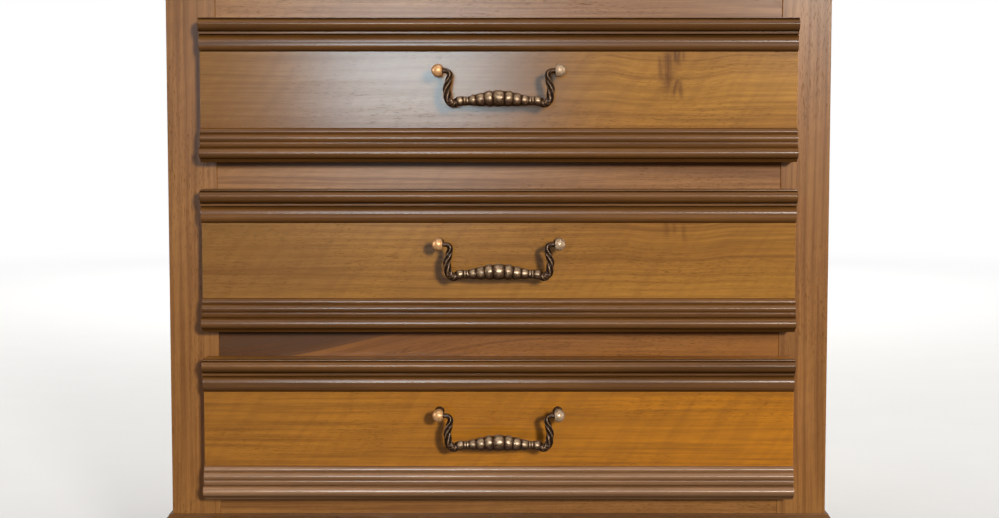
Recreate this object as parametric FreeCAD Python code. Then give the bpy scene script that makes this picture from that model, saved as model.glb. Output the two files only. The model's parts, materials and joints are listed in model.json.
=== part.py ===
import FreeCAD, Part
import os

# Chest of three drawers with moulded fronts and one bail pull on each drawer.
# Lengths are in millimetres. X runs from left to right as the chest is faced, its front faces -Y and Z is up.
# While it is made, Y counts from the face of the front frame. The last step moves the origin to the
# middle of the chest's footprint, on the floor.

Vector = FreeCAD.Vector
ALONG_X = Vector(1, 0, 0)
ALONG_Y = Vector(0, 1, 0)

# Drawer fronts
drawer_names = ("lower", "middle", "upper")
front_width = 480.0
panel_height = 61.0
top_moulding_height = 27.0
bottom_moulding_height = 27.5
moulding_projection = 10.0
front_core = 18.0
front_gap = 22.0
front_overlap = 4.25
closing_gap = 0.4

# Carcass
carcass_width = 540.0
carcass_depth = 380.0
side_thickness = 18.0
stile_width = 40.0
frame_thickness = 20.0
back_thickness = 6.0
back_rebate = 8.0
back_rebate_clearance = 0.2
bottom_board_thickness = 12.0
back_rail_thickness = 18.0
tenon_length = 22.0
tenon_thickness = 8.0
tenon_shoulder = 4.0
mortise_clearance = 0.1

# Top, cornice, base moulding and feet
top_thickness = 24.0
top_side_overhang = 24.0
top_front_overhang = 36.0
top_edge_relief = 9.0
cornice_height = 22.0
cornice_projection = 18.0
cornice_reveal = 16.0
base_moulding_height = 24.0
base_moulding_projection = 12.0
base_reveal = 16.0
foot_height = 62.0
foot_length = 96.0
foot_thickness = 22.0
foot_proud = 4.0

# Drawer boxes and their runners
box_wall = 12.0
box_bottom_thickness = 5.0
box_bottom_lift = 9.0
box_back_drop = 6.0
groove_depth = 6.0
groove_clearance = 0.1
slide_side_gap = 0.5
slide_under_gap = 0.3
kicker_gap = 2.5
drawer_back_gap = 14.0
tail_count = 4
pin_end_half_width = 2.0
pin_root_half_width = 4.2
runner_bearing = 14.0
guide_height = 14.0

# Bail pulls
pull_spacing = 96.0
pull_drop = 15.7
pull_projection = 24.5
ball_radius = 5.2
ball_flat = 3.1
post_foot_radius = 4.9
post_neck_radius = 3.3
post_foot_height = 5.0
post_rim = 1.2
bail_pin_radius = 1.5
bail_pin_clearance = 0.07
bail_pin_length = 4.6
bail_pin_end_gap = 0.5
bail_shoulder_gap = 0.4
bail_shoulder_radius = 1.8
arm_inset = 6.8
bail_reach = 26.3
arm_radius = 3.0
arm_bend = 8.2
grip_radius = 6.6
screw_radius = 2.0
screw_clearance = 0.2
screw_post_clearance = 0.1
screw_engagement = 10.0
screw_hole_spare = 2.0
screw_head_radius = 4.0
screw_head_height = 2.6
screw_slot_width = 1.0
screw_slot_depth = 1.2

overrun = 5.0

# Outlines: each step is one point for a straight line, or two for an arc through the first to the second.
# Up from the panel: a bead with a shallow hollow down its face, a fillet, a torus and the top fillet.
top_moulding_share = [
    [(0.000, 0.06)],
    [(0.045, 0.30), (0.170, 0.44)],
    [(0.267, 0.40), (0.363, 0.46)],
    [(0.445, 0.39), (0.482, 0.20)],
    [(0.504, 0.20)],
    [(0.504, 0.52)],
    [(0.578, 0.52)],
    [(0.578, 0.36)],
    [(0.589, 0.42)],
    [(0.765, 1.00), (0.935, 0.46)],
    [(0.948, 0.46)],
    [(0.948, 0.84)],
    [(1.000, 0.84)],
    [(1.000, 0.00)],
]
# Down from the panel: a quirk, a small bead, an ovolo, a fillet, a torus and a recessed fillet.
bottom_moulding_share = [
    [(0.000, 0.08)],
    [(0.050, 0.08)],
    [(0.112, 0.29), (0.170, 0.12)],
    [(0.245, 0.49), (0.400, 0.62)],
    [(0.425, 0.40)],
    [(0.435, 0.60)],
    [(0.560, 0.66)],
    [(0.575, 0.36)],
    [(0.596, 0.42)],
    [(0.762, 1.00), (0.928, 0.42)],
    [(0.936, 0.36)],
    [(1.000, 0.36)],
    [(1.000, 0.00)],
]
# Out from the carcass and up: the cove under the top, then the ogee on the base.
cornice_share = [
    [(0.00, 0.17)],
    [(0.11, 0.17)],
    [(0.30, 0.62), (0.84, 0.84)],
    [(0.84, 1.00)],
    [(1.00, 1.00)],
    [(1.00, 0.00)],
]
base_moulding_share = [
    [(0.00, 1.00)],
    [(0.34, 1.00)],
    [(0.34, 0.90)],
    [(0.56, 0.82), (0.66, 0.55)],
    [(0.74, 0.40), (0.90, 0.34)],
    [(0.90, 0.22)],
    [(1.00, 0.22)],
    [(1.00, 0.00)],
]
# The top board's edge from its underside up, as shares of its thickness and of the relief.
top_edge_share = [
    [(0.14, 1.00)],
    [(0.14, 0.82)],
    [(0.22, 0.30), (0.50, 0.10)],
    [(0.50, 0.00)],
    [(0.80, 0.00)],
    [(0.94, 0.10), (1.00, 0.40)],
]
# A bracket foot's wing, from the pad at the outer corner along to its tip and back over the top.
foot_wing_share = [
    [(0.34, 0.00)],
    [(0.40, 0.34), (0.60, 0.50)],
    [(0.74, 0.58), (0.80, 0.78)],
    [(1.00, 0.78)],
    [(1.00, 1.00)],
    [(0.00, 1.00)],
]
# Bail arm from the shoulder at the ball down to the grip: place across, drop, and radius.
arm_share = [
    (1.027, 0.004, 0.60),
    (0.972, 0.042, 0.63),
    (0.937, 0.135, 0.70),
    (0.949, 0.255, 0.80),
    (0.981, 0.395, 0.88),
    (1.000, 0.540, 0.93),
    (0.998, 0.700, 0.97),
    (0.964, 0.837, 1.00),
    (0.903, 0.945, 1.00),
    (0.835, 0.985, 0.97),
    (0.770, 0.955, 0.92),
]
# Beads along one half of the grip: start, end, radius, drop of the axis.
bead_share = [
    (0.129, 0.339, 0.924, 0.840),
    (0.339, 0.545, 0.773, 0.871),
    (0.545, 0.724, 0.621, 0.894),
    (0.724, 0.785, 0.530, 0.905),
    (0.785, 0.845, 0.545, 0.909),
    (0.845, 1.000, 0.590, 0.905),
]
middle_bead_share = (-0.129, 0.129, 1.000, 0.829)
bead_groove_share = 0.82

# Heights and widths that follow
front_height = bottom_moulding_height + panel_height + top_moulding_height
drawer_pitch = front_height + front_gap
opening_width = carcass_width - 2 * stile_width
opening_height = front_height - 2 * front_overlap
rail_height = front_gap + 2 * front_overlap
lowest_front = foot_height + base_moulding_height + base_reveal
front_floor = {name: lowest_front + row * drawer_pitch for row, name in enumerate(drawer_names)}
opening_floor = {name: front_floor[name] + front_overlap for name in drawer_names}
top_front_edge = front_floor["upper"] + front_height
cornice_floor = top_front_edge + cornice_reveal
carcass_top = cornice_floor + cornice_height
top_opening = opening_floor["upper"] + opening_height
inner_half_width = carcass_width / 2 - side_thickness
back_panel_face = carcass_depth - back_thickness
front_face = -closing_gap - front_core
ball_axis = front_face - pull_projection
front_reach = max(top_front_overhang, grip_radius - ball_axis)
frame_face = (front_reach - carcass_depth) / 2
bail_half_width = pull_spacing / 2 - arm_inset
grip_half_length = bail_half_width - arm_bend
bail_shoulder = pull_spacing / 2 - ball_flat - bail_shoulder_gap

# Drawer box sizes that follow
box_half_width = opening_width / 2 - slide_side_gap
box_inner_half_width = box_half_width - box_wall
box_height = opening_height - slide_under_gap - kicker_gap
box_front_back = -closing_gap + box_wall
box_end = back_panel_face - drawer_back_gap


def block(x_range, y_range, z_range):
    size = [high - low for low, high in (x_range, y_range, z_range)]
    return Part.makeBox(size[0], size[1], size[2], Vector(x_range[0], y_range[0], z_range[0]))


def outline_face(start, steps, place):
    """Face inside an outline, whose points place() turns into places in space."""
    first = place(start)
    here = first
    edges = []
    for step in steps:
        corners = [place(point) for point in step]
        if len(corners) == 1:
            edges.append(Part.LineSegment(here, corners[0]).toShape())
        else:
            edges.append(Part.Arc(here, corners[0], corners[1]).toShape())
        here = corners[-1]
    edges.append(Part.LineSegment(here, first).toShape())
    return Part.Face(Part.Wire(edges))


def joined(solids):
    return solids[0].multiFuse(solids[1:]).removeSplitter()


def mirrored(shape):
    return shape.mirror(Vector(0, 0, 0), ALONG_X)


def both_sides(shape):
    return Part.makeCompound([mirrored(shape), shape])


def turned(outline, axis_start, axis, radial):
    """Solid turned about an axis from (distance along, radius) points that begin and end on the axis."""
    corners = [axis_start + axis * along + radial * radius for along, radius in outline]
    wire = Part.makePolygon(corners + [corners[0]])
    return Part.Face(wire).revolve(axis_start, axis, 360)


def front_moulding(shares, height, edge, upward):
    def place(point):
        return Vector(-front_width / 2, front_face - point[1] * moulding_projection, edge + upward * point[0] * height)
    return outline_face((0, 0), shares, place).extrude(ALONG_X * front_width)


def across_y(radius, start, end, x, z):
    """Cylinder that runs towards the front, from start to end."""
    return Part.makeCylinder(radius, start - end, Vector(x, start, z), -ALONG_Y)


def pull_height(name):
    return front_floor[name] + bottom_moulding_height + panel_height - pull_drop


def screw_places(name):
    return [(side * pull_spacing / 2, pull_height(name)) for side in (-1, 1)]


def screw_holes(name):
    radius = screw_radius + screw_clearance
    return [across_y(radius, box_front_back + overrun, front_face - overrun, x, z) for x, z in screw_places(name)]


def front_parts(name):
    low = front_floor[name]
    panel_low = low + bottom_moulding_height
    panel_high = panel_low + panel_height
    half = front_width / 2
    core = block((-half, half), (front_face, -closing_gap), (low, low + front_height))
    return {
        "front_panel": core.cut(screw_holes(name)),
        "top_moulding": front_moulding(top_moulding_share, top_moulding_height, panel_high, 1),
        "bottom_moulding": front_moulding(bottom_moulding_share, bottom_moulding_height, panel_low, -1),
    }


def dovetail_pins(end_y, inward, low, high):
    """Prisms across the drawer that are the pins of its front or back, narrow at the end of the sides."""
    root_y = end_y + inward * box_wall
    step = (high - low) / tail_count
    pins = []
    for number in range(tail_count + 1):
        centre = low + number * step
        end_low, end_high = max(low, centre - pin_end_half_width), min(high, centre + pin_end_half_width)
        root_low, root_high = max(low, centre - pin_root_half_width), min(high, centre + pin_root_half_width)
        corners = [(end_y, end_low), (end_y, end_high), (root_y, root_high), (root_y, root_low)]
        points = [Vector(-box_half_width, y, z) for y, z in corners]
        face = Part.Face(Part.makePolygon(points + [points[0]]))
        pins.append(face.extrude(ALONG_X * (2 * box_half_width)))
    return pins


def box_parts(name):
    low = opening_floor[name] + slide_under_gap
    high = low + box_height
    groove_low = low + box_bottom_lift
    groove_high = groove_low + box_bottom_thickness + 2 * groove_clearance
    back_high = high - box_back_drop
    pins = dovetail_pins(-closing_gap, 1, low, high) + dovetail_pins(box_end, -1, groove_high, back_high)
    groove_half = box_inner_half_width + groove_depth
    groove = block((-groove_half, groove_half), (box_front_back - groove_depth, box_end + overrun),
                   (groove_low, groove_high))
    side = block((box_inner_half_width, box_half_width), (-closing_gap, box_end), (low, high)).cut(pins)
    sides = [mirrored(side), side]
    whole_width = (-box_half_width, box_half_width)
    front = block(whole_width, (-closing_gap, box_front_back), (low, high)).cut(sides)
    back = block(whole_width, (box_end - box_wall, box_end), (groove_high, back_high)).cut(sides)
    sheet_half = groove_half - groove_clearance
    sheet = block((-sheet_half, sheet_half), (box_front_back - groove_depth + groove_clearance, box_end),
                  (groove_low + groove_clearance, groove_high - groove_clearance))
    return {
        "box_front": front.cut([groove] + screw_holes(name)),
        "box_side_left": sides[0].cut(groove),
        "box_side_right": sides[1].cut(groove),
        "box_back": back,
        "box_bottom": sheet,
    }


def pull_post():
    """Right-hand post with its axis along Y, from the drawer's face to the ball, at the origin of X and Z."""
    foot = [
        (0, 0),
        (0, post_foot_radius),
        (post_rim, post_foot_radius),
        (post_foot_height / 2, (post_foot_radius + post_neck_radius) / 2),
        (post_foot_height, post_neck_radius),
        (pull_projection, post_neck_radius),
        (pull_projection, 0),
    ]
    base = Vector(0, front_face, 0)
    ball_centre = Vector(0, ball_axis, 0)
    post = turned(foot, base, -ALONG_Y, ALONG_X).fuse(Part.makeSphere(ball_radius, ball_centre))
    reach = ball_radius + overrun
    flat = block((-reach, -ball_flat), (ball_axis - reach, ball_axis + reach), (-reach, reach))
    hole_radius = bail_pin_radius + bail_pin_clearance
    bore = Part.makeCylinder(hole_radius, bail_pin_length + overrun,
                             ball_centre + ALONG_X * (bail_pin_length - ball_flat), -ALONG_X)
    thread = across_y(screw_radius + screw_post_clearance, front_face + overrun,
                      front_face - screw_engagement - screw_hole_spare, 0, 0)
    return post.cut([flat, bore, thread]).removeSplitter()


def pull_posts(name):
    post = pull_post()
    post.translate(Vector(pull_spacing / 2, 0, pull_height(name)))
    return both_sides(post)


def pull_screws(name):
    screws = []
    for x, z in screw_places(name):
        shank = across_y(screw_radius, box_front_back, front_face - screw_engagement, x, z)
        head_end = box_front_back + screw_head_height
        head = across_y(screw_head_radius, head_end, box_front_back, x, z)
        slot = block((x - screw_head_radius, x + screw_head_radius),
                     (head_end - screw_slot_depth, head_end + overrun),
                     (z - screw_slot_width / 2, z + screw_slot_width / 2))
        screws.append(shank.fuse(head).removeSplitter().cut(slot))
    return Part.makeCompound(screws)


def bead(shares):
    start, end, radius, drop = shares
    edge = radius * bead_groove_share * grip_radius
    centre = Vector(0, 0, -drop * bail_reach)
    middle = (start + end) / 2

    def place(point):
        return centre + Vector(point[0] * grip_half_length, 0, point[1])
    steps = [
        [(start, edge)],
        [(middle, radius * grip_radius), (end, edge)],
        [(end, 0)],
    ]
    return outline_face((start, 0), steps, place).revolve(centre, ALONG_X, 360)


def bail_arm():
    """Arm from the shoulder beside the ball down into the grip's end bead, as a loft through circles."""
    places = [Vector(bail_shoulder, 0, 0)]
    radii = [bail_shoulder_radius]
    for across, drop, radius in arm_share:
        places.append(Vector(across * bail_half_width, 0, -drop * bail_reach))
        radii.append(radius * arm_radius)
    rings = []
    last = len(places) - 1
    for number, centre in enumerate(places):
        heading = places[min(number + 1, last)] - places[max(number - 1, 0)]
        if number == 0:
            heading = -ALONG_X
        rings.append(Part.Wire(Part.makeCircle(radii[number], centre, heading)))
    return Part.makeLoft(rings, True, False)


def bail():
    """Bail with its hinge line along X through the origin, hanging straight down."""
    pin = Part.makeCylinder(bail_pin_radius, bail_shoulder_gap + bail_pin_length - bail_pin_end_gap,
                            Vector(bail_shoulder, 0, 0), ALONG_X)
    half = [bead(shares) for shares in bead_share] + [bail_arm(), pin]
    return joined([bead(middle_bead_share)] + half + [mirrored(piece) for piece in half])


def placed_bail(name):
    piece = bail()
    piece.translate(Vector(0, ball_axis, pull_height(name)))
    return piece


def rail(low, high):
    half = opening_width / 2
    tenon_half = half + tenon_length
    tenon_face = (frame_thickness - tenon_thickness) / 2
    board = block((-half, half), (0, frame_thickness), (low, high))
    tenons = block((-tenon_half, tenon_half), (tenon_face, tenon_face + tenon_thickness),
                   (low + tenon_shoulder, high - tenon_shoulder))
    return joined([board, tenons])


def rail_ranges():
    lower_top = opening_floor["lower"]
    ranges = {"rail_bottom": (foot_height, lower_top)}
    for name, below in (("rail_lower", "lower"), ("rail_upper", "middle")):
        low = opening_floor[below] + opening_height
        ranges[name] = (low, low + rail_height)
    ranges["rail_top"] = (top_opening, carcass_top)
    return ranges


def stile():
    """Right-hand stile with a mortise for each rail's tenon."""
    half = opening_width / 2
    board = block((half, carcass_width / 2), (0, frame_thickness), (foot_height, carcass_top))
    tenon_face = (frame_thickness - tenon_thickness) / 2
    mortises = []
    for low, high in rail_ranges().values():
        mortises.append(block((half - overrun, half + tenon_length + mortise_clearance),
                              (tenon_face - mortise_clearance, tenon_face + tenon_thickness + mortise_clearance),
                              (low + tenon_shoulder - mortise_clearance, high - tenon_shoulder + mortise_clearance)))
    return board.cut(mortises)


def side_board():
    board = block((inner_half_width, carcass_width / 2), (frame_thickness, carcass_depth), (foot_height, carcass_top))
    rebate = block((inner_half_width - overrun, inner_half_width + back_rebate),
                   (back_panel_face, carcass_depth + overrun), (foot_height - overrun, carcass_top + overrun))
    return board.cut(rebate)


def back_panel():
    half = inner_half_width + back_rebate - back_rebate_clearance
    return block((-half, half), (back_panel_face, carcass_depth), (foot_height, carcass_top))


def runners(name):
    """Pair of runners under one drawer: a bearer, with a guide beside the drawer on top of it."""
    floor = opening_floor[name]
    bearer = block((opening_width / 2 - runner_bearing, inner_half_width), (frame_thickness, back_panel_face),
                   (floor - rail_height, floor))
    guide = block((opening_width / 2, inner_half_width), (frame_thickness, back_panel_face),
                  (floor, floor + guide_height))
    return both_sides(joined([bearer, guide]))


def kickers():
    """Pair of strips above the upper drawer, which keep it level when it is pulled out."""
    return both_sides(block((opening_width / 2 - runner_bearing, inner_half_width),
                            (frame_thickness, back_panel_face - back_rail_thickness), (top_opening, carcass_top)))


def mitred_run(shares, height, projection, low):
    """Front, left and right lengths of a moulding round the carcass, mitred at the front corners."""
    half = carcass_width / 2
    outer = half + projection

    def on_front(point):
        return Vector(-outer, -point[1] * projection, low + point[0] * height)

    def on_right(point):
        return Vector(half + point[1] * projection, -projection, low + point[0] * height)

    def plan(corners):
        points = [Vector(x, y, low - overrun) for x, y in corners]
        return Part.Face(Part.makePolygon(points + [points[0]])).extrude(Vector(0, 0, height + 2 * overrun))

    front = outline_face((0, 0), shares, on_front).extrude(ALONG_X * (2 * outer))
    front = front.common(plan([(-half, 0), (half, 0), (outer, -projection), (-outer, -projection)]))
    right = outline_face((0, 0), shares, on_right).extrude(ALONG_Y * (projection + carcass_depth))
    right = right.common(plan([(half, 0), (outer, -projection), (outer, carcass_depth), (half, carcass_depth)]))
    return {"front": front, "left": mirrored(right), "right": right}


def top_board():
    """Top with a moulded edge at the front and both sides, square at the back."""
    half = carcass_width / 2 + top_side_overhang

    def at_front(point):
        return Vector(-half, point[1] * top_edge_relief - top_front_overhang, carcass_top + point[0] * top_thickness)

    def at_right(point):
        return Vector(half - point[1] * top_edge_relief, -top_front_overhang, carcass_top + point[0] * top_thickness)

    depth_share = (top_front_overhang + carcass_depth) / top_edge_relief
    half_share = half / top_edge_relief
    lengthways = outline_face((0, 1), top_edge_share + [[(1, depth_share)], [(0, depth_share)]], at_front)
    crossways = outline_face((0, 1), top_edge_share + [[(1, half_share)], [(0, half_share)]], at_right)
    right = crossways.extrude(ALONG_Y * (top_front_overhang + carcass_depth))
    return lengthways.extrude(ALONG_X * (2 * half)).common(joined([right, mirrored(right)])).removeSplitter()


def foot(corner_y, inward):
    """Right-hand bracket foot of two wings that meet at the corner. Inward is 1 at the front, -1 at the back."""
    outer = carcass_width / 2 + foot_proud

    def across(point):
        return Vector(outer - point[0] * foot_length, corner_y, point[1] * foot_height)

    def along(point):
        return Vector(outer, corner_y + inward * point[0] * foot_length, point[1] * foot_height)

    cross_wing = outline_face((0, 0), foot_wing_share, across).extrude(ALONG_Y * (inward * foot_thickness))
    side_wing = outline_face((0, 0), foot_wing_share, along).extrude(ALONG_X * -foot_thickness)
    return joined([cross_wing, side_wing])


def carcass_parts():
    full_width = (-inner_half_width, inner_half_width)
    right_stile = stile()
    right_side = side_board()
    cornice = mitred_run(cornice_share, cornice_height, cornice_projection, cornice_floor)
    base = mitred_run(base_moulding_share, base_moulding_height, base_moulding_projection, foot_height)
    front_foot = foot(-foot_proud, 1)
    back_foot = foot(carcass_depth, -1)
    parts = {
        "top_board": top_board(),
        "side_left": mirrored(right_side),
        "side_right": right_side,
        "stile_left": mirrored(right_stile),
        "stile_right": right_stile,
        "back_panel": back_panel(),
        "back_rail": block(full_width, (back_panel_face - back_rail_thickness, back_panel_face),
                           (top_opening, carcass_top)),
        "bottom_board": block(full_width, (frame_thickness, back_panel_face),
                              (foot_height, foot_height + bottom_board_thickness)),
        "kickers": kickers(),
        "foot_front_left": mirrored(front_foot),
        "foot_front_right": front_foot,
        "foot_back_left": mirrored(back_foot),
        "foot_back_right": back_foot,
    }
    for name, (low, high) in rail_ranges().items():
        parts[name] = rail(low, high)
    for place, piece in cornice.items():
        parts["cornice_" + place] = piece
    for place, piece in base.items():
        parts["base_moulding_" + place] = piece
    return parts


def drawer_parts(name):
    parts = front_parts(name)
    parts.update(box_parts(name))
    parts["pull_posts"] = pull_posts(name)
    parts["pull_screws"] = pull_screws(name)
    parts["bail"] = placed_bail(name)
    return parts


def all_parts():
    parts = carcass_parts()
    for name in drawer_names:
        parts[name + "_runners"] = runners(name)
        for piece, shape in drawer_parts(name).items():
            parts[name + "_" + piece] = shape
    return parts


os.makedirs("parts", exist_ok=True)
for node, shape in all_parts().items():
    shape.translate(Vector(0, frame_face, 0))
    shape.exportStep("parts/" + node + ".step")
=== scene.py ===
import json
import math

import bmesh
import bpy
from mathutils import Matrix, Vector, noise


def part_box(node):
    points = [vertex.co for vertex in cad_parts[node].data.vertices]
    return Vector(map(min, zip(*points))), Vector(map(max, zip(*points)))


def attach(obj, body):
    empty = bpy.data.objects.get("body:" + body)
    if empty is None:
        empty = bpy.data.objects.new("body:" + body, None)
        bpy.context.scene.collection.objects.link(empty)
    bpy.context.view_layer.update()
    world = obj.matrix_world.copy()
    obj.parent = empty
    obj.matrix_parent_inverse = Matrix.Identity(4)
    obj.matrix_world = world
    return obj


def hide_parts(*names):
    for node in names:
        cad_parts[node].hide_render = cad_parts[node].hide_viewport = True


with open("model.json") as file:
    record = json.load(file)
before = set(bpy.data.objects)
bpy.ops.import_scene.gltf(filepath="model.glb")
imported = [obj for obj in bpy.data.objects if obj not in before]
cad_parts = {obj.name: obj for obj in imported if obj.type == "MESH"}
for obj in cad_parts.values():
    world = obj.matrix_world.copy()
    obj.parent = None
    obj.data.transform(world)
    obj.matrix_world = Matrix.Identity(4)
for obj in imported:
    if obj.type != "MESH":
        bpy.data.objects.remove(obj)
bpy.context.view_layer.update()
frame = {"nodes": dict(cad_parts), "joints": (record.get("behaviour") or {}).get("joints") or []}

mm = 0.001
drawers = ("lower", "middle", "upper")
arrisTurn = math.radians(40)  # edges that turn by more are eased


# Outlines, in metres

def arcThrough(first, middle, last, count):  # the points after first, up to last
    (ax, ay), (bx, by), (cx, cy) = first, middle, last
    a2, b2, c2 = ax * ax + ay * ay, bx * bx + by * by, cx * cx + cy * cy
    spread = 2 * (ax * (by - cy) + bx * (cy - ay) + cx * (ay - by))
    centreX = (a2 * (by - cy) + b2 * (cy - ay) + c2 * (ay - by)) / spread
    centreY = (a2 * (cx - bx) + b2 * (ax - cx) + c2 * (bx - ax)) / spread
    radius = math.hypot(ax - centreX, ay - centreY)
    start = math.atan2(ay - centreY, ax - centreX)

    def turnTo(x, y, way):
        return (way * (math.atan2(y - centreY, x - centreX) - start)) % math.tau

    way = 1 if turnTo(bx, by, 1) < turnTo(cx, cy, 1) else -1
    sweep = turnTo(cx, cy, way)
    angles = [start + way * sweep * step / count for step in range(1, count + 1)]
    return [(centreX + radius * math.cos(a), centreY + radius * math.sin(a)) for a in angles]


def outline(start, steps, upSize, outSize, perArc=12):
    # One point in a step is a line to it, two are an arc through the first to the second
    def sized(point):
        return (point[0] * upSize, point[1] * outSize)

    points = [sized(start)]
    for step in steps:
        if len(step) == 1:
            points.append(sized(step[0]))
        else:
            points += arcThrough(points[-1], sized(step[0]), sized(step[1]), perArc)
    return points


def easeCorners(points, reach, leastTurn=math.radians(25), mostOfSide=0.4):
    eased = []
    for index, here in enumerate(points):
        here = Vector(here)
        before = here - Vector(points[index - 1])
        after = Vector(points[(index + 1) % len(points)]) - here
        if before.angle(after) < leastTurn:
            eased.append(here)
            continue
        cut = min(reach, before.length * mostOfSide, after.length * mostOfSide)
        start, end = here - before.normalized() * cut, here + after.normalized() * cut
        for share in (0, 1 / 3, 2 / 3, 1):
            eased.append(start * (1 - share) ** 2 + here * 2 * share * (1 - share) + end * share ** 2)
    return eased


def between(table, place):  # straight lines between the rows of (place, value)
    for (start, low), (end, high) in zip(table, table[1:]):
        if place <= end:
            return low + (high - low) * (place - start) / (end - start)
    return table[-1][1]


def turns(count):  # angles all the way round
    return [math.tau * number / count for number in range(count)]


# Meshes and pieces

def corners(box):
    return [Vector(corner) for corner in box]


def pieceName(node):  # top_board gives topBoard
    first, *others = node.split("_")
    return first + "".join(word.title() for word in others)


def settle(shape, name, smoothAngle=32):
    bmesh.ops.recalc_face_normals(shape, faces=shape.faces)
    mesh = bpy.data.meshes.new(name)
    shape.to_mesh(mesh)
    shape.free()
    mesh.shade_smooth()
    mesh.set_sharp_from_angle(angle=math.radians(smoothAngle))
    return mesh


def setLayer(mesh, name, values):
    layer = mesh.attributes.new(name, "FLOAT", "POINT")
    layer.data.foreach_set("value", values)


def loftShape(rings):
    shape = bmesh.new()
    loops = [[shape.verts.new(point) for point in ring] for ring in rings]
    count = len(loops[0])
    for ring, following in zip(loops, loops[1:]):
        for index in range(count):
            after = (index + 1) % count
            shape.faces.new((ring[index], ring[after], following[after], following[index]))
    shape.faces.new(loops[0][::-1])
    shape.faces.new(loops[-1])
    return shape


def easeEdges(shape, edges, ease, segments):
    bmesh.ops.bevel(shape, geom=edges, offset=ease, segments=segments, profile=0.5, affect="EDGES")


def board(name, low, high, ease):
    shape = bmesh.new()
    bmesh.ops.create_cube(shape, size=1)
    middle, size = (low + high) / 2, high - low
    for vert in shape.verts:
        vert.co = middle + Vector(part * length for part, length in zip(vert.co, size))
    easeEdges(shape, shape.edges[:], ease, 3)
    return settle(shape, name)


def placed(name, data):
    made = bpy.data.objects.new(name, data)
    bpy.context.collection.objects.link(made)
    return made


def piece(name, mesh, body, slot, materials, *replaced):
    made = placed(name, mesh)
    for material in materials:
        mesh.materials.append(material)
    weights = made.modifiers.new("FaceWeights", "WEIGHTED_NORMAL")  # broad faces stay flat
    weights.keep_sharp = True
    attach(made, body)
    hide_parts(*replaced)


def dress(node, finish, ease):  # a carried-over CAD board, with its arrises taken off
    kept = frame["nodes"][node]
    kept.data.materials.clear()
    kept.data.materials.append(finish)
    weld = kept.modifiers.new("Weld", "WELD")
    weld.merge_threshold = 0.002 * mm
    bevel = kept.modifiers.new("Arris", "BEVEL")
    bevel.width = ease
    bevel.segments = 2
    bevel.limit_method = "ANGLE"
    bevel.angle_limit = arrisTurn
    bevel.use_clamp_overlap = False


# Shader maths

class Wire:  # a node's output, on which Python's operators add Math nodes
    def __init__(self, finish, socket):
        self.finish = finish
        self.socket = socket

    def calc(self, operation, *operands):
        return self.finish.node("ShaderNodeMath", {"operation": operation}, dict(enumerate(operands)))

    def __add__(self, other):
        return self.calc("ADD", self, other)

    def __sub__(self, other):
        return self.calc("SUBTRACT", self, other)

    def __rsub__(self, other):
        return self.calc("SUBTRACT", other, self)

    def __mul__(self, other):
        return self.calc("MULTIPLY", self, other)

    def __truediv__(self, other):
        return self.calc("DIVIDE", self, other)

    def __pow__(self, other):
        return self.calc("POWER", self, other)

    def __abs__(self):
        return self.calc("ABSOLUTE", self)

    def wave(self):
        return self.calc("SINE", self)

    def rise(self, start, end):  # 0 before start, 1 after end, smooth between
        return self.finish.node("ShaderNodeMapRange", {"interpolation_type": "SMOOTHSTEP"},
                                {"Value": self, "From Min": start, "From Max": end})

    __radd__ = __add__
    __rmul__ = __mul__


class Finish:  # a new material and its nodes, or the node tree that is given
    def __init__(self, name, tree=None):
        self.material = None if tree else bpy.data.materials.new(name)
        if self.material:
            self.material.use_nodes = True
        self.tree = tree or self.material.node_tree
        self.tree.nodes.clear()

    def node(self, kind, settings=None, sockets=None, output=0):
        made = self.tree.nodes.new(kind)
        for setting, value in (settings or {}).items():
            setattr(made, setting, value)
        for place, value in (sockets or {}).items():
            if isinstance(value, Wire):
                self.tree.links.new(value.socket, made.inputs[place])
            else:
                made.inputs[place].default_value = value
        return Wire(self, made.outputs[output])

    def place(self):  # the point of the chest that is shaded, at rest, in metres
        return self.node("ShaderNodeTexCoord", output="Object")

    def layer(self, name):  # a value that the mesh carries
        return self.node("ShaderNodeAttribute", {"attribute_name": name}, output="Fac")

    def axis(self, vector, letter):
        return self.node("ShaderNodeSeparateXYZ", {}, {0: vector}, "xyz".index(letter))

    def shift(self, point, x=0, y=0, z=0):
        offset = self.node("ShaderNodeCombineXYZ", {}, {0: x, 1: y, 2: z})
        return self.node("ShaderNodeVectorMath", {"operation": "ADD"}, {0: point, 1: offset})

    def noise(self, point, cells, seed, detail=2.0, roughness=0.5, output="Fac"):
        # Cells are per metre, one number or one for each axis
        scale = (cells,) * 3 if isinstance(cells, (int, float)) else cells
        sampled = self.node("ShaderNodeVectorMath", {"operation": "MULTIPLY_ADD"},
                            {0: point, 1: scale, 2: (seed, seed * 1.7, seed * 0.6)})
        return self.node("ShaderNodeTexNoise", {}, {"Vector": sampled, "Scale": 1.0, "Detail": detail,
                                                    "Roughness": roughness}, output)

    def warp(self, point, cells, seed, reach):
        drift = self.noise(point, cells, seed, output="Color")
        return self.node("ShaderNodeVectorMath", {"operation": "MULTIPLY_ADD"},
                         {0: drift, 1: (reach,) * 3, 2: point})

    def blend(self, factor, first, second):
        return self.node("ShaderNodeMix", {"data_type": "RGBA"}, {0: factor, 6: first, 7: second}, 2)

    def bump(self, height, distance):
        return self.node("ShaderNodeBump", {}, {"Height": height, "Distance": distance, "Strength": 1.0})

    def done(self, **sockets):  # base_color sets the socket Base Color, and so on
        named = {}
        for name, value in sockets.items():
            named[name.replace("_", " ").title().replace("Ior", "IOR")] = value
        return self.shown(self.node("ShaderNodeBsdfPrincipled", {}, named))

    def shown(self, surface, kind="ShaderNodeOutputMaterial"):
        end = self.tree.nodes.new(kind)
        self.tree.links.new(surface.socket, end.inputs["Surface"])
        return self.material


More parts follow.
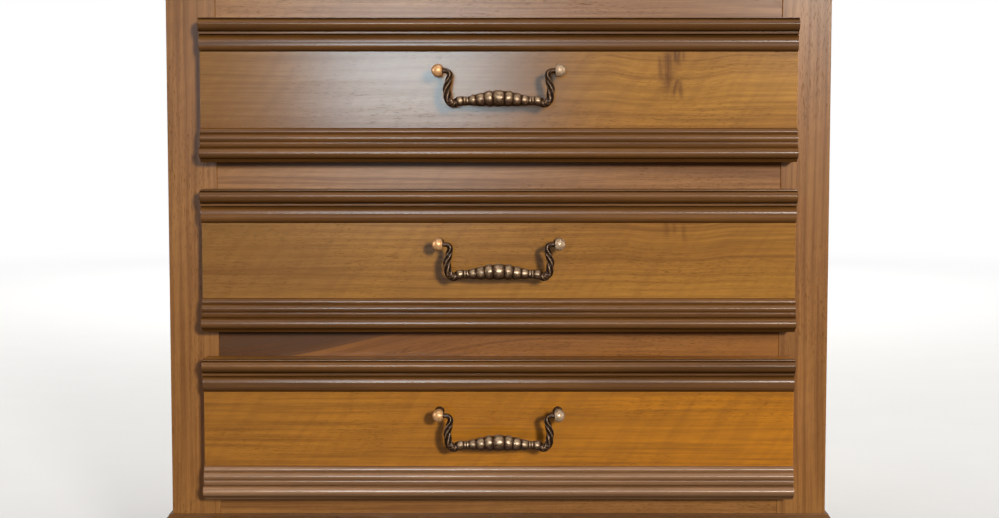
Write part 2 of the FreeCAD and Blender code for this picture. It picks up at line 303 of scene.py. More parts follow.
def tone(red, green, blue):  # 0 to 255, as a paint card gives it
    def linear(level):
        level /= 255
        return level / 12.92 if level < 0.04045 else ((level + 0.055) / 1.055) ** 2.4

    return (linear(red), linear(green), linear(blue), 1.0)


def tones(look, *parts):
    return [tone(*look[part]) for part in parts]


def grainCells(table, grain):  # noise cells per metre on each axis, from pairs along and across the grain
    cells = {}
    for layer, (along, across) in table.items():
        cells[layer] = [along if axis == grain else across for axis in "xyz"]
    return cells


# Walnut

walnutLooks = {
    "front": dict(light=(180, 127, 48), body=(154, 102, 37), dark=(110, 69, 27), pore=(64, 39, 18),
                  figure=0.8, coat=0.30, coatRoughness=0.18, openPores=0.45, openLines=0.2, poreShade=0.38,
                  grainDepth=0.035 * mm, seed=3.1),
    "moulding": dict(light=(130, 85, 38), body=(106, 67, 27), dark=(70, 42, 15), pore=(36, 19, 6),
                     figure=0.2, coat=0.44, coatRoughness=0.22, openPores=0.05, openLines=0.03,
                     poreShade=0.10, grainDepth=0.002 * mm, seed=11.4),
    "carcass": dict(light=(168, 117, 60), body=(142, 94, 43), dark=(98, 58, 24), pore=(60, 36, 14),
                    figure=0.4, coat=0.34, coatRoughness=0.26, openPores=0.6, openLines=0.2, poreShade=0.42,
                    grainDepth=0.035 * mm, seed=23.7),
}
walnutCells = dict(warp=(2.6, 11), bands=(1.7, 34), lines=(4.5, 300), fibre=(52, 1000), pores=(205, 1650),
                   crowd=(9, 34), curlWarp=(14, 30), curl=(105, 13), cloud=(5, 14))
walnutShades = dict(lines=0.6, fibre=0.20, hollow=0.5)  # how much each darkens the wood; hollow is painted shade
frontTones = dict(  # with the stretches in metres over which each tone sets in
    left=(118, 84, 46), leftSpan=(-0.27, 0.10),
    low=(190, 118, 18), lowSpan=(0.22, 0.26), lowReach=(-0.3, 0.3),
    high=(112, 72, 34), highSpan=(0.36, 0.40), stretchStart=(-0.22, -0.12), stretchEnd=(0.0, 0.12),
    stroke=(92, 50, 8))
crotchBends = [  # where the grain lifts over a knot: middle, band, reach to each side and lift, in mm
    dict(x=138, bottom=404.5, top=465.5, reach=52, lift=4.5),
    dict(x=142, bottom=267.0, top=328.0, reach=44, lift=3.0),
]
crotchStrokes = [  # its dark strokes: middle at the top, top, bottom, lean and half width in mm, and strength
    dict(x=128.6, top=463, bottom=441, lean=1.8, half=1.7, strength=0.42),
    dict(x=136.0, top=468, bottom=428, lean=-0.8, half=3.0, strength=0.50),
    dict(x=137.6, top=470, bottom=424, lean=-0.8, half=7.5, strength=0.20),
    dict(x=141.6, top=468, bottom=455, lean=0.9, half=1.4, strength=0.62),
    dict(x=145.0, top=468, bottom=454, lean=-0.6, half=1.4, strength=0.60),
    dict(x=148.2, top=467, bottom=457, lean=0.8, half=1.3, strength=0.36),
    dict(x=142.7, top=444, bottom=428, lean=-2.6, half=1.5, strength=0.55),
    dict(x=144.4, top=444, bottom=426, lean=2.8, half=1.6, strength=0.55),
    dict(x=135.6, top=331, bottom=314, lean=-0.6, half=2.4, strength=0.34),
    dict(x=141.0, top=331, bottom=317, lean=0.8, half=1.7, strength=0.28),
    dict(x=149.2, top=328, bottom=311, lean=0.8, half=1.8, strength=0.34),
]
strokeLook = dict(wander=3.0 * mm, wanderCells=(30, 30, 110), streakCells=(900, 900, 60))
railHeart = dict(light=(164, 106, 40), body=(130, 80, 26),
                 sweep=dict(start=-0.25, end=0.05, height=0.048, heart=0.2098, edge=(-2 * mm, 3 * mm),
                            line=1.6 * mm, dark=(66, 42, 22)))
paleMoulding = dict(light=(160, 118, 82), body=(138, 98, 62), dark=(96, 64, 36), pore=(54, 34, 18),
                    coat=0.62, seed=17.9)
satinTop = dict(coat=0.15, coatRoughness=0.34, seed=5.9)
# painted shadow along the rails just under each front
shadowUnderFronts = dict(undersides=[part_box(f"{drawer}_front_panel")[0][2] for drawer in drawers],
                   shadowDrop=1.2 * mm, shadowSpan=(1.0 * mm, 6.8 * mm), shadowShare=0.85)


def grainPoint(finish, look, place, x, z, bends):  # where the grain is read, lifted over knots and hearts
    point = place
    for bend in bends:
        off = (x - bend["x"] * mm) / (bend["reach"] * mm)
        up = (z - bend["bottom"] * mm) / ((bend["top"] - bend["bottom"]) * mm)
        inside = up.rise(0.0, 0.7) * (1 - up.rise(1.02, 1.06))
        point = finish.shift(point, z=(1 - (off * off).rise(0.0, 1.0)) * inside * (bend["lift"] * mm))
    if "sweep" in look:  # a heart that rises along the rail
        sweep = look["sweep"]
        point = finish.shift(point, z=x.rise(sweep["start"], sweep["end"]) * -sweep["height"])
    return point


def frontZones(finish, look, colour, cloud, x, z):  # the fronts are darker to the left, yellower low down, and darker on a high stretch left of the middle
    left, low, high = tones(look, "left", "low", "high")
    leftwards = 1 - (x + (cloud - 0.5) * 0.12).rise(*look["leftSpan"])
    colour = finish.blend(leftwards * 0.62, colour, left)
    lowest = 1 - z.rise(*look["lowSpan"])
    colour = finish.blend(lowest * (x.rise(*look["lowReach"]) * 0.5 + 0.4), colour, low)
    stretch = z.rise(*look["highSpan"]) * x.rise(*look["stretchStart"]) * (1 - x.rise(*look["stretchEnd"]))
    return finish.blend(stretch * (0.7 + (cloud - 0.5) * 0.3), colour, high)


def strokeMask(finish, place, x, z, seed, strokes):
    wobble = (finish.noise(place, strokeLook["wanderCells"], seed) - 0.5) * strokeLook["wander"]
    streaks = finish.noise(place, strokeLook["streakCells"], seed + 1).rise(0.3, 0.6)
    mask = 0.0
    for stroke in strokes:
        down = (stroke["top"] * mm - z) / ((stroke["top"] - stroke["bottom"]) * mm)
        off = abs(x + wobble - stroke["x"] * mm - down * (stroke["lean"] * mm)) / (stroke["half"] * mm)
        held = down.rise(-0.05, 0.2) * (1 - down.rise(0.6, 1.1)) * stroke["strength"]
        mask = mask + (1 - off.rise(0.0, 1.9)) * held
    return mask * (0.76 + streaks * 0.44)


def walnut(name, look, grain, bends=(), strokes=()):
    finish = Finish(name)
    seed = look["seed"]
    cells = grainCells(walnutCells, grain)
    place = finish.place()
    x, z = finish.axis(place, "x"), finish.axis(place, "z")
    point = grainPoint(finish, look, place, x, z, bends)

    bent = finish.warp(point, cells["warp"], seed, 0.010)
    bands = finish.noise(bent, cells["bands"], seed + 1, 3.0).rise(0.28, 0.72)
    lines = finish.noise(bent, cells["lines"], seed + 2, 4.0, 0.62).rise(0.34, 0.70)
    fibre = finish.noise(bent, cells["fibre"], seed + 3)
    crowd = finish.noise(point, cells["crowd"], seed + 5, 1.0).rise(0.30, 0.62)
    pores = finish.noise(bent, cells["pores"], seed + 4, 1.0).rise(0.57, 0.70) * crowd
    leaning = finish.shift(place, **{grain: (x if grain == "z" else z) * -0.7})  # the curl lies aslant
    curlPoint = finish.warp(leaning, cells["curlWarp"], seed + 6, 0.014)
    curl = finish.noise(curlPoint, cells["curl"], seed + 7)
    cloud = finish.noise(point, cells["cloud"], seed + 8).rise(0.3, 0.7)

    light, body, dark, pore = tones(look, "light", "body", "dark", "pore")
    colour = finish.blend(bands * 0.55 + cloud * 0.45, body, light)
    if "left" in look:
        colour = frontZones(finish, look, colour, cloud, x, z)
    if "sweep" in look:  # dark wood above the heart, and a darker line along it
        sweep = look["sweep"]
        heart = finish.axis(point, "z") - sweep["heart"]
        colour = finish.blend(heart.rise(*sweep["edge"]) * 0.9, colour, tone(*sweep["dark"]))
        colour = finish.blend((1 - abs(heart).rise(0.0, sweep["line"])) * 0.55, colour, pore)
    colour = finish.blend(lines * walnutShades["lines"] * (1.15 - bands * 0.5), colour, dark)
    colour = finish.blend((curl - 0.5) * look["figure"] + 0.06, colour, dark)
    colour = finish.blend(fibre.rise(0.35, 0.7) * walnutShades["fibre"], colour, dark)
    if strokes:
        mask = strokeMask(finish, place, x, z, seed + 9, strokes)
        colour = finish.blend(mask, colour, tone(*look["stroke"]))
    colour = finish.blend(pores * look["poreShade"], colour, pore)
    # painted shade: recesses, undersides and the rails under the fronts
    hollow = finish.layer("hollow")
    for underside in look.get("undersides", ()):  # painted shadow: the rails are dark and dull just under a front
        away = abs(z - underside + look["shadowDrop"]).rise(*look["shadowSpan"])
        hollow = hollow + (1 - away) * look["shadowShare"]
    # the painted shade darkens the colour here and thins the coat below
    colour = finish.blend(hollow * walnutShades["hollow"], colour, pore)

    height = lines * 0.15 + fibre * 0.25 - pores * 0.9
    closed = 1.05 - pores * look["openPores"] - lines * look["openLines"]
    return finish.done(base_color=colour, roughness=0.45 + pores * 0.18 + fibre * 0.05,
                       specular_ior_level=0.0, coat_weight=closed * (1 - hollow) * look["coat"],
                       coat_roughness=look["coatRoughness"], normal=finish.bump(height, look["grainDepth"]))


# Beech, plywood and metal

beechLook = dict(light=(222, 186, 138), body=(204, 160, 110), fleck=(166, 116, 72), roughness=0.5,
                 depth=0.04 * mm, seed=41.0)
beechCells = dict(warp=(2.5, 9), bands=(1.6, 42), fibre=(30, 1500), flecks=(260, 1500))


def beech(name, look, grain):
    finish = Finish(name)
    seed = look["seed"]
    cells = grainCells(beechCells, grain)
    light, body, fleck = tones(look, "light", "body", "fleck")
    bent = finish.warp(finish.place(), cells["warp"], seed, 0.008)
    bands = finish.noise(bent, cells["bands"], seed + 1, 3.0).rise(0.3, 0.7)
    fibre = finish.noise(bent, cells["fibre"], seed + 2, 3.0).rise(0.35, 0.7)
    flecks = finish.noise(bent, cells["flecks"], seed + 3, 0.0).rise(0.62, 0.72)
    colour = finish.blend(fibre * 0.18 + flecks * 0.55, finish.blend(bands, body, light), fleck)
    return finish.done(base_color=colour, roughness=look["roughness"] + fibre * 0.1,
                       normal=finish.bump(fibre * 0.5 - flecks * 0.4, look["depth"]))


plywoodLook = dict(light=(216, 182, 134), body=(196, 154, 104), dark=(150, 108, 66), glue=(96, 66, 40),
                   ply=1.25 * mm, roughness=0.55, depth=0.05 * mm, seed=57.0)
plywoodCells = dict(warp=(3, 7), bands=(1.2, 22), fibre=(26, 1300))


def plywood(name, look, grain, thickness):  # thickness names the axis across the plies
    finish = Finish(name)
    seed = look["seed"]
    cells = grainCells(plywoodCells, grain)
    light, body, dark, glue = tones(look, "light", "body", "dark", "glue")
    point = finish.place()
    rotary = finish.warp(point, cells["warp"], seed, 0.03)
    bands = finish.noise(rotary, cells["bands"], seed + 1, 4.0, 0.6).rise(0.36, 0.62)
    fibre = finish.noise(rotary, cells["fibre"], seed + 2, 3.0).rise(0.4, 0.7)
    colour = finish.blend(fibre * 0.22, finish.blend(bands, body, light), dark)
    facing = finish.axis(finish.node("ShaderNodeNewGeometry", output="Normal"), thickness)
    onEdge = 1 - abs(facing).rise(0.3, 0.6)
    plies = (finish.axis(point, thickness) * (math.tau / look["ply"])).wave().rise(0.2, 0.7)
    colour = finish.blend(onEdge * (1 - plies) * 0.65, colour, glue)
    return finish.done(base_color=colour, roughness=look["roughness"],
                       normal=finish.bump(fibre * 0.5 + plies * onEdge, look["depth"]))


bronzeLook = dict(patina=(56, 36, 22), brown=(82, 56, 34), worn=(198, 168, 134), deep=(16, 9, 5),
                  coat=0.20, coatRoughness=0.15, blotches=420, grit=2600, depth=0.12 * mm, seed=71.0)


def bronze(name, look):  # the mesh attribute crown is 1 on what hands rub and 0 in the grooves; on the bail it is also raised facing up and lowered underneath, as painted light and shade
    finish = Finish(name)
    seed = look["seed"]
    patina, brown, worn, deep = tones(look, "patina", "brown", "worn", "deep")
    point = finish.place()
    crown = finish.layer("crown")
    blotch = finish.noise(point, look["blotches"], seed, 4.0, 0.6)
    grit = finish.noise(point, look["grit"], seed + 1, 3.0, 0.6)
    wear = (crown * 0.62 + blotch * 0.55 + grit * 0.25).rise(0.76, 1.16)
    hollow = 1 - (crown + blotch * 0.3).rise(0.20, 0.78)
    colour = finish.blend(blotch.rise(0.3, 0.7), patina, brown)
    # dark patina in the grooves, and painted shade on the bail's undersides
    colour = finish.blend(hollow * 0.85, colour, deep)
    colour = finish.blend(wear * 0.5, colour, worn)
    return finish.done(base_color=colour, specular_ior_level=0.0, metallic=0.30 + wear * 0.34,
                       roughness=0.38 - wear * 0.12 + grit * 0.08,
                       coat_weight=(1 - hollow * 0.8) * look["coat"], coat_roughness=look["coatRoughness"],
                       normal=finish.bump(blotch * 0.6 + grit * 0.4, look["depth"]))


ballLook = dict(copper=(156, 122, 88), bright=(228, 216, 196), dark=(102, 80, 58), warm=(222, 152, 74),
                metallic=0.45, coat=0.36, coatRoughness=0.15, blotches=520, specks=1500, depth=0.06 * mm,
                seed=83.0)


def wornBall(name, look):
    finish = Finish(name)
    seed = look["seed"]
    copper, bright, dark, warm = tones(look, "copper", "bright", "dark", "warm")
    point = finish.place()
    blotch = finish.noise(point, look["blotches"], seed, 3.0, 0.6)
    specks = finish.noise(point, look["specks"], seed + 1, 2.0, 0.6)
    colour = finish.blend(blotch.rise(0.42, 0.66) * 0.75, copper, dark)
    colour = finish.blend(specks.rise(0.53, 0.62) * 0.55, colour, bright)
    onLeft = 1 - finish.axis(point, "x").rise(-10 * mm, 10 * mm)  # the left balls are warmer
    colour = finish.blend(onLeft * 0.38, colour, warm)
    return finish.done(base_color=colour, metallic=look["metallic"], specular_ior_level=0.0,
                       roughness=0.32 + blotch * 0.16, coat_weight=look["coat"],
                       coat_roughness=look["coatRoughness"],
                       normal=finish.bump(blotch * 0.2 + specks * 0.6, look["depth"]))


zincLook = dict(dull=(176, 176, 180), bright=(214, 214, 216), spangles=700, depth=0.03 * mm, seed=97.0)


def zinc(name, look):
    finish = Finish(name)
    dull, bright = tones(look, "dull", "bright")
    spangle = finish.noise(finish.place(), look["spangles"], look["seed"], 3.0)
    return finish.done(base_color=finish.blend(spangle, dull, bright), metallic=1.0,
                       roughness=0.3 + spangle * 0.15, normal=finish.bump(spangle, look["depth"]))


front, moulding, carcass = (walnutLooks[part] for part in ("front", "moulding", "carcass"))
finishes = {
    "front": walnut("walnutFront", dict(front, **frontTones), "x", crotchBends, crotchStrokes),
    "top": walnut("walnutTop", dict(front, **satinTop), "x"),
    "moulding": walnut("walnutMoulding", moulding, "x"),
    "mouldingPale": walnut("walnutMouldingPale", dict(moulding, **paleMoulding), "x"),
    "mouldingDeep": walnut("walnutMouldingSide", moulding, "y"),
    "rail": walnut("walnutRail", dict(carcass, **shadowUnderFronts), "x"),
    "railLower": walnut("walnutRailLower", dict(carcass, **railHeart, **shadowUnderFronts), "x"),
    "stile": walnut("walnutStile", carcass, "z"),
    "side": walnut("walnutSide", dict(carcass, seed=29.3), "z"),
    "beechWide": beech("beechWide", beechLook, "x"),
    "beechDeep": beech("beechDeep", beechLook, "y"),
    "plyBottom": plywood("plywoodBottom", plywoodLook, "x", "z"),
    "plyBack": plywood("plywoodBack", plywoodLook, "z", "y"),
    "bronze": bronze("antiqueBronze", bronzeLook),
    "ball": wornBall("wornBall", ballLook),
    "zinc": zinc("zincSteel", zincLook),
}
print("finishes made:", len(finishes))


# Drawer fronts

# the recess and share values set the painted shade in the mouldings' quirks and undersides
frontLook = dict(ease=0.7 * mm, mouldingEase=0.35 * mm, endEase=0.4 * mm, recessReach=2.2 * mm,
                 recessDepth=4.0 * mm, sunkShadeShare=0.8, underShadeShare=0.7, smoothAngle=28)
topMoulding = [  # up from the panel, as shares of the height, and out, as shares of the projection
    [(0.000, 0.06)],
    [(0.060, 0.32), (0.172, 0.450)],
    [(0.222, 0.4545), (0.288, 0.468)],
    [(0.405, 0.38), (0.488, 0.20)],
    [(0.504, 0.20)],
    [(0.510, 0.609)],
    [(0.578, 0.620)],
    [(0.580, 0.38)],
    [(0.592, 0.42)],
    [(0.685, 0.86), (0.812, 1.00)],
    [(0.905, 0.88), (0.958, 0.58)],
    [(0.966, 0.56)],
    [(0.966, 0.84)],
    [(1.000, 0.84)],
    [(1.000, 0.00)],
]
bottomMoulding = [  # down from the panel
    [(0.004, 0.10)],
    [(0.050, 0.27), (0.110, 0.33)],
    [(0.146, 0.315), (0.172, 0.285)],
    [(0.205, 0.46), (0.262, 0.580)],
    [(0.300, 0.600), (0.345, 0.575)],
    [(0.380, 0.53), (0.408, 0.47)],
    [(0.424, 0.465)],
    [(0.446, 0.495)],
    [(0.556, 0.465)],
    [(0.568, 0.40)],
    [(0.578, 0.44)],
    [(0.734, 1.00), (0.890, 0.44)],
    [(0.955, 0.32)],
    [(1.000, 0.22)],
    [(1.000, 0.00)],
]


def paintedShadeDepths(section, upward):  # painted shade: 1 at the bottom of a quirk or under a bead, 0 on a crown
    look = frontLook
    depths = []
    for index, here in enumerate(section):
        run = section[(index + 1) % len(section)] - section[index - 1]
        crown = max(other[1] for other in section if abs(other[0] - here[0]) < look["recessReach"])
        sunk = min(1, (crown - here[1]) / look["recessDepth"])
        under = max(0, upward * run[1] / max(run.length, 1e-9))
        depths.append(1 - (1 - look["sunkShadeShare"] * sunk) * (1 - look["underShadeShare"] * under))
    return depths


def frontMoulding(drawer, part, steps, upward):
    low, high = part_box(f"{drawer}_{part}")
    edge = low[2] if upward > 0 else high[2]
    tall = high[2] - low[2]
    section = easeCorners(outline((0, 0), steps, tall, high[1] - low[1]), frontLook["mouldingEase"])
    middle = sum(section, Vector((0, 0))) / len(section)
    ease = frontLook["endEase"]

    def ring(x, shrink):
        inner = [middle + (point - middle) * (1 - shrink) for point in section]
        return [Vector((x, high[1] - max(out, 0), edge + upward * up)) for up, out in inner]

    drawnIn = 2 * ease / tall
    rings = [ring(low[0], drawnIn), ring(low[0] + ease, 0), ring(high[0] - ease, 0), ring(high[0], drawnIn)]
    name = pieceName(f"{drawer}_{part}")
    mesh = settle(loftShape(rings), name, frontLook["smoothAngle"])
    # painted shade in the recesses and on the undersides
    setLayer(mesh, "hollow", paintedShadeDepths(section, upward) * len(rings))
    lowest = drawer == "lower" and upward < 0
    finish = finishes["mouldingPale" if lowest else "moulding"]
    piece(name, mesh, f"{drawer}_drawer", "walnut_moulding", [finish], f"{drawer}_{part}")


for drawer in drawers:
    low, high = corners(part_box(f"{drawer}_front_panel"))
    name = f"{drawer}FrontPanel"
    piece(name, board(name, low, high, frontLook["ease"]), f"{drawer}_drawer", "walnut_front",
          [finishes["front"]], f"{drawer}_front_panel")
    frontMoulding(drawer, "top_moulding", topMoulding, 1)
    frontMoulding(drawer, "bottom_moulding", bottomMoulding, -1)
print("drawer fronts made")


# Bail pulls, in millimetres about the hinge line until they are placed

bailLook = dict(around=72, smoothAngle=50, groove=0.81, beadSteps=12, leastStep=0.02, step=0.32,
                strands=5, pitch=42.0, strandDepth=0.20, leafDepth=0.15, leafLength=11.0,
                fadeIn=0.06, fadeOut=0.22, castCells=0.9, armCast=0.112, gripCast=0.049)
pinLook = dict(start=0.02, step=0.01, root=1.7, radius=1.5, end=49.0, taper=0.3, crown=0.3)
rubAndShadeLook = dict(all=0.70, front=0.22, above=0.52)  # where hands rub the bail, with painted light on its upper side and painted shade underneath
gripBeads = [  # start and end from the middle, and radius
    (-4.55, 4.55, 6.54),
    (4.55, 11.19, 6.25),
    (11.19, 17.98, 5.25),
    (17.98, 23.89, 4.25),
    (23.89, 25.90, 3.50),
    (25.90, 27.89, 3.60),
    (27.89, 33.20, 3.85),
]
gripDrop = [(0, 21.8), (7.7, 22.1), (14.6, 22.9), (20.9, 23.5), (24.9, 23.8), (30.0, 23.9), (33.2, 24.5)]
armPath = [  # across, drop and radius, from the grip's end up to the shoulder
    (33.2, 24.5, 2.95),
    (34.5, 25.6, 3.35),
    (36.6, 26.0, 3.50),
    (39.0, 24.2, 3.50),
    (40.6, 20.3, 3.40),
    (41.1, 15.6, 3.25),
    (40.7, 11.4, 3.10),
    (39.4, 7.4, 2.85),
    (38.7, 4.2, 2.60),
    (39.6, 1.5, 2.30),
    (41.8, 0.2, 2.05),
    (44.5, 0.0, 1.90),
]


def curveThrough(rows, step):  # a smooth line through rows of numbers, with a point about every step
    points = [Vector(row) for row in rows]
    ends = [points[0] * 2 - points[1]] + points + [points[-1] * 2 - points[-2]]
    path = [points[0]]
    for p0, p1, p2, p3 in zip(ends, ends[1:], ends[2:], ends[3:]):
        count = max(2, round((p2 - p1).xy.length / step))
        for number in range(1, count + 1):
            t = number / count
            path.append(0.5 * (2 * p1 + (p2 - p0) * t + (2 * p0 - 5 * p1 + 4 * p2 - p3) * t ** 2
                               + (3 * p1 - p0 - 3 * p2 + p3) * t ** 3))
    return path


def gripStations():  # from the middle out, closer together beside the grooves
    look = bailLook
    stations = []
    taper = [((start + end) / 2, radius) for start, end, radius in gripBeads]
    for bead in gripBeads:
        start, end = bead[:2]
        for number in range(look["beadSteps"] + 1):
            share = -math.cos(math.pi * number / look["beadSteps"])
            across = round((start + end) / 2 + share * (end - start) / 2, 6)
            if across < 0 or (stations and across <= stations[-1]["across"] + look["leastStep"]):
                continue
            crown = math.sqrt(max(0, 1 - share * share))
            radius = between(taper, across) * (look["groove"] + (1 - look["groove"]) * crown)
            stations.append(dict(across=across, drop=between(gripDrop, across), radius=radius, crown=crown))
    return stations


def armStations():
    path = curveThrough(armPath, bailLook["step"])
    return [dict(across=point.x, drop=point.y, radius=point.z) for point in path[1:]]


def armRelief(angle, run, share):
    # How far the surface of the twist or the leaf lies in, and how much its ridges are rubbed
    look = bailLook
    fade = min(1, share / look["fadeIn"]) * min(1, (1 - share) / look["fadeOut"])
    leafy = max(0, 1 - run / look["leafLength"])
    turn = look["strands"] * (angle + math.tau * run / look["pitch"])
    strand = 1 - abs(math.sin(turn / 2)) ** 1.1
    vein = abs(math.cos(2.5 * angle - 1.3 * run)) ** 0.6
    relief = look["strandDepth"] * (1 - leafy) * (strand - 1) + look["leafDepth"] * leafy * (vein - 1)
    ridge = (strand ** 1.5 * (1 - leafy) + vein ** 2 * leafy) * fade * 1.05 + 0.45 * (1 - fade)
    return fade * relief, ridge


def ringPoint(centre, normal, angle, size):
    level = size * math.cos(angle)
    return Vector((centre.x + level * normal.x, size * math.sin(angle), centre.y + level * normal.y))


def bailMesh(name):
    look = bailLook
    grip = gripStations()
    stations = grip + armStations()
    centres = [Vector((station["across"], -station["drop"])) for station in stations]
    runs = [0.0] * (len(grip) + 1)  # how far along the arm each centre lies
    for start, end in zip(centres[len(grip):], centres[len(grip) + 1:]):
        runs.append(runs[-1] + (end - start).length)
    rings, crowns = [], []
    for index, station in enumerate(stations):
        centre, run = centres[index], runs[index]
        ahead = Vector((1, 0))
        if 0 < index < len(stations) - 1:
            ahead = (centres[index + 1] - centres[index - 1]).normalized()
        normal = Vector((ahead.y, -ahead.x))
        ring, crown = [], []
        for angle in turns(look["around"]):
            if "crown" in station:  # a bead of the grip
                size = station["radius"]
                ridge = station["crown"] ** 0.8
                cast = look["gripCast"]
            else:
                relief, ridge = armRelief(angle, run, run / runs[-1])
                size = station["radius"] * (1 + relief)
                cast = look["armCast"]
            size += noise.noise(ringPoint(centre, normal, angle, size) * look["castCells"]) * cast
            ring.append(ringPoint(centre, normal, angle, size))
            # painted light and shade: the crown is raised on the upper side and lowered underneath
            facing = rubAndShadeLook["all"] - rubAndShadeLook["front"] * math.sin(angle)
            facing += rubAndShadeLook["above"] * math.cos(angle) * normal.y
            crown.append(max(0, min(1, ridge)) * max(0, min(1, facing)))
        rings.append(ring)
        crowns.append(crown)

    pin = pinLook
    shoulder = armPath[-1][0] + pin["start"]
    collars = [(shoulder, pin["root"]), (shoulder + pin["step"], pin["radius"]),
               (pin["end"] - pin["taper"], pin["radius"]), (pin["end"], pin["radius"] - pin["taper"])]
    for across, radius in collars:
        rings.append([Vector((across, radius * math.sin(angle), -radius * math.cos(angle)))
                      for angle in turns(look["around"])])
        crowns.append([pin["crown"]] * look["around"])
    mirrored = [[Vector((-point.x, point.y, point.z)) for point in ring] for ring in rings[:0:-1]]
    shape = loftShape([[point * mm for point in ring] for ring in mirrored + rings])
    mesh = settle(shape, name, look["smoothAngle"])
    setLayer(mesh, "crown", [value for crown in crowns[:0:-1] + crowns for value in crown])
    return mesh


postLook = dict(around=48, smoothAngle=40, reach=24.5, foot=3.7, neck=3.0, ball=5.2, ballSteps=27, flat=3.1,
                bore=1.57, boreDepth=2.4, cutFrom=0.2, rubbedFrom=0.3, crown=0.4)
postFoot = [(0.0, 0.0), (0.5, 0.1), (1.0, 0.0)]  # out from the front, and how much wider than the foot
postHollow = dict(start=1.2, narrower=0.1, middle=2.6, wider=0.22, end=5.0, steps=8)
postCollar = [(-1.2, 0.0), (-0.5, 0.08)]  # out from the ball's start, and how much wider than the neck


def postShape(inward):  # outwards along -Y from the front's face, with the ball's flat towards inward
    look, hollow = postLook, postHollow
    reach, foot, neck, ball = (look[part] for part in ("reach", "foot", "neck", "ball"))
    join = reach - math.sqrt(ball ** 2 - neck ** 2)
    section = [(out, foot + wider) for out, wider in postFoot]
    section += arcThrough((hollow["start"], foot - hollow["narrower"]),
                          (hollow["middle"], neck + hollow["wider"]), (hollow["end"], neck), hollow["steps"])
    section += [(join + out, neck + wider) for out, wider in postCollar]
    start = math.asin(neck / ball)
    for number in range(look["ballSteps"]):
        angle = start + (math.pi - start) * number / look["ballSteps"]
        section.append((reach - ball * math.cos(angle), ball * math.sin(angle)))
    rings = [[Vector((radius * math.cos(angle), -out, radius * math.sin(angle)))
              for angle in turns(look["around"])] for out, radius in section]
    shape = loftShape(rings)
    cut = [face for face in shape.faces if -face.calc_center_median().y > join - look["cutFrom"]]
    touched = list({vert for face in cut for vert in face.verts})
    touched += list({edge for face in cut for edge in face.edges}) + cut
    bmesh.ops.bisect_plane(shape, geom=touched, plane_co=(inward * look["flat"], 0, 0),
                           plane_no=(inward, 0, 0), clear_outer=True, dist=1e-5)
    rim = [edge for edge in shape.edges if edge.is_boundary]
    cap = bmesh.ops.contextual_create(shape, geom=rim)["faces"]
    flatRadius = math.sqrt(ball ** 2 - look["flat"] ** 2)
    bmesh.ops.inset_region(shape, faces=cap, thickness=flatRadius - look["bore"])
    pushed = bmesh.ops.extrude_face_region(shape, geom=cap)
    for vert in (made for made in pushed["geom"] if isinstance(made, bmesh.types.BMVert)):
        vert.co.x -= inward * look["boreDepth"]
    bmesh.ops.delete(shape, geom=cap, context="FACES_ONLY")
    for face in shape.faces:
        face.material_index = 1 if -face.calc_center_median().y > join - look["rubbedFrom"] else 0
    return shape


def postsMesh(name, spacing):
    both = bmesh.new()
    for side in (-1, 1):
        shape = postShape(-side)
        for vert in shape.verts:
            vert.co = vert.co * mm + Vector((side * spacing / 2, 0, 0))
        passing = bpy.data.meshes.new("passing")
        shape.to_mesh(passing)
        shape.free()
        both.from_mesh(passing)
        bpy.data.meshes.remove(passing)
    mesh = settle(both, name, postLook["smoothAngle"])
    setLayer(mesh, "crown", [postLook["crown"]] * len(mesh.vertices))
    return mesh


def moveMesh(mesh, offset):
    for vert in mesh.vertices:
        vert.co += offset


hinges = {joint["name"]: joint for joint in frame["joints"]}
for drawer in drawers:
    pin = Vector(hinges[f"{drawer}_bail_hinge"]["pos_m"])
    name = f"{drawer}Bail"
    mesh = bailMesh(name)
    moveMesh(mesh, pin)
    piece(name, mesh, f"{drawer}_pull_bail", "antique_bronze", [finishes["bronze"]], f"{drawer}_bail")
    low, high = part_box(f"{drawer}_pull_posts")
    name = f"{drawer}PullPosts"
    mesh = postsMesh(name, high[0] - low[0] - 2 * postLook["ball"] * mm)
    moveMesh(mesh, Vector((0, high[1], pin.z)))
    piece(name, mesh, f"{drawer}_drawer", "antique_bronze", [finishes["bronze"], finishes["ball"]],
          f"{drawer}_pull_posts")
print("pulls made")


# Top board, cornice, base moulding and feet

caseLook = dict(topRelief=9 * mm, topCorner=3 * mm, cornerSteps=5, topEase=0.6 * mm, mouldingEase=0.5 * mm,
                footThickness=22 * mm, footEase=0.8 * mm)
topEdge = [  # up the board's thickness, and in, as shares of the relief
    [(0.14, 1.00)],
    [(0.14, 0.82)],
    [(0.22, 0.30), (0.50, 0.10)],
    [(0.50, 0.00)],
    [(0.80, 0.00)],
    [(0.94, 0.10), (1.00, 0.40)],
]
corniceEdge = [  # up, and out from the carcass
    [(0.00, 0.17)],
    [(0.11, 0.17)],
    [(0.30, 0.62), (0.84, 0.84)],
    [(0.84, 1.00)],
    [(1.00, 1.00)],
    [(1.00, 0.00)],
]
baseEdge = [
    [(0.00, 1.00)],
    [(0.34, 1.00)],
    [(0.34, 0.90)],
    [(0.56, 0.82), (0.66, 0.55)],
    [(0.74, 0.40), (0.90, 0.34)],
    [(0.90, 0.22)],
    [(1.00, 0.22)],
    [(1.00, 0.00)],
]
footWing = [  # from the pad at the outer corner along to the tip and back over the top
    [(0.34, 0.00)],
    [(0.40, 0.34), (0.60, 0.50)],
    [(0.74, 0.58), (0.80, 0.78)],
    [(1.00, 0.78)],
    [(1.00, 1.00)],
    [(0.00, 1.00)],
]


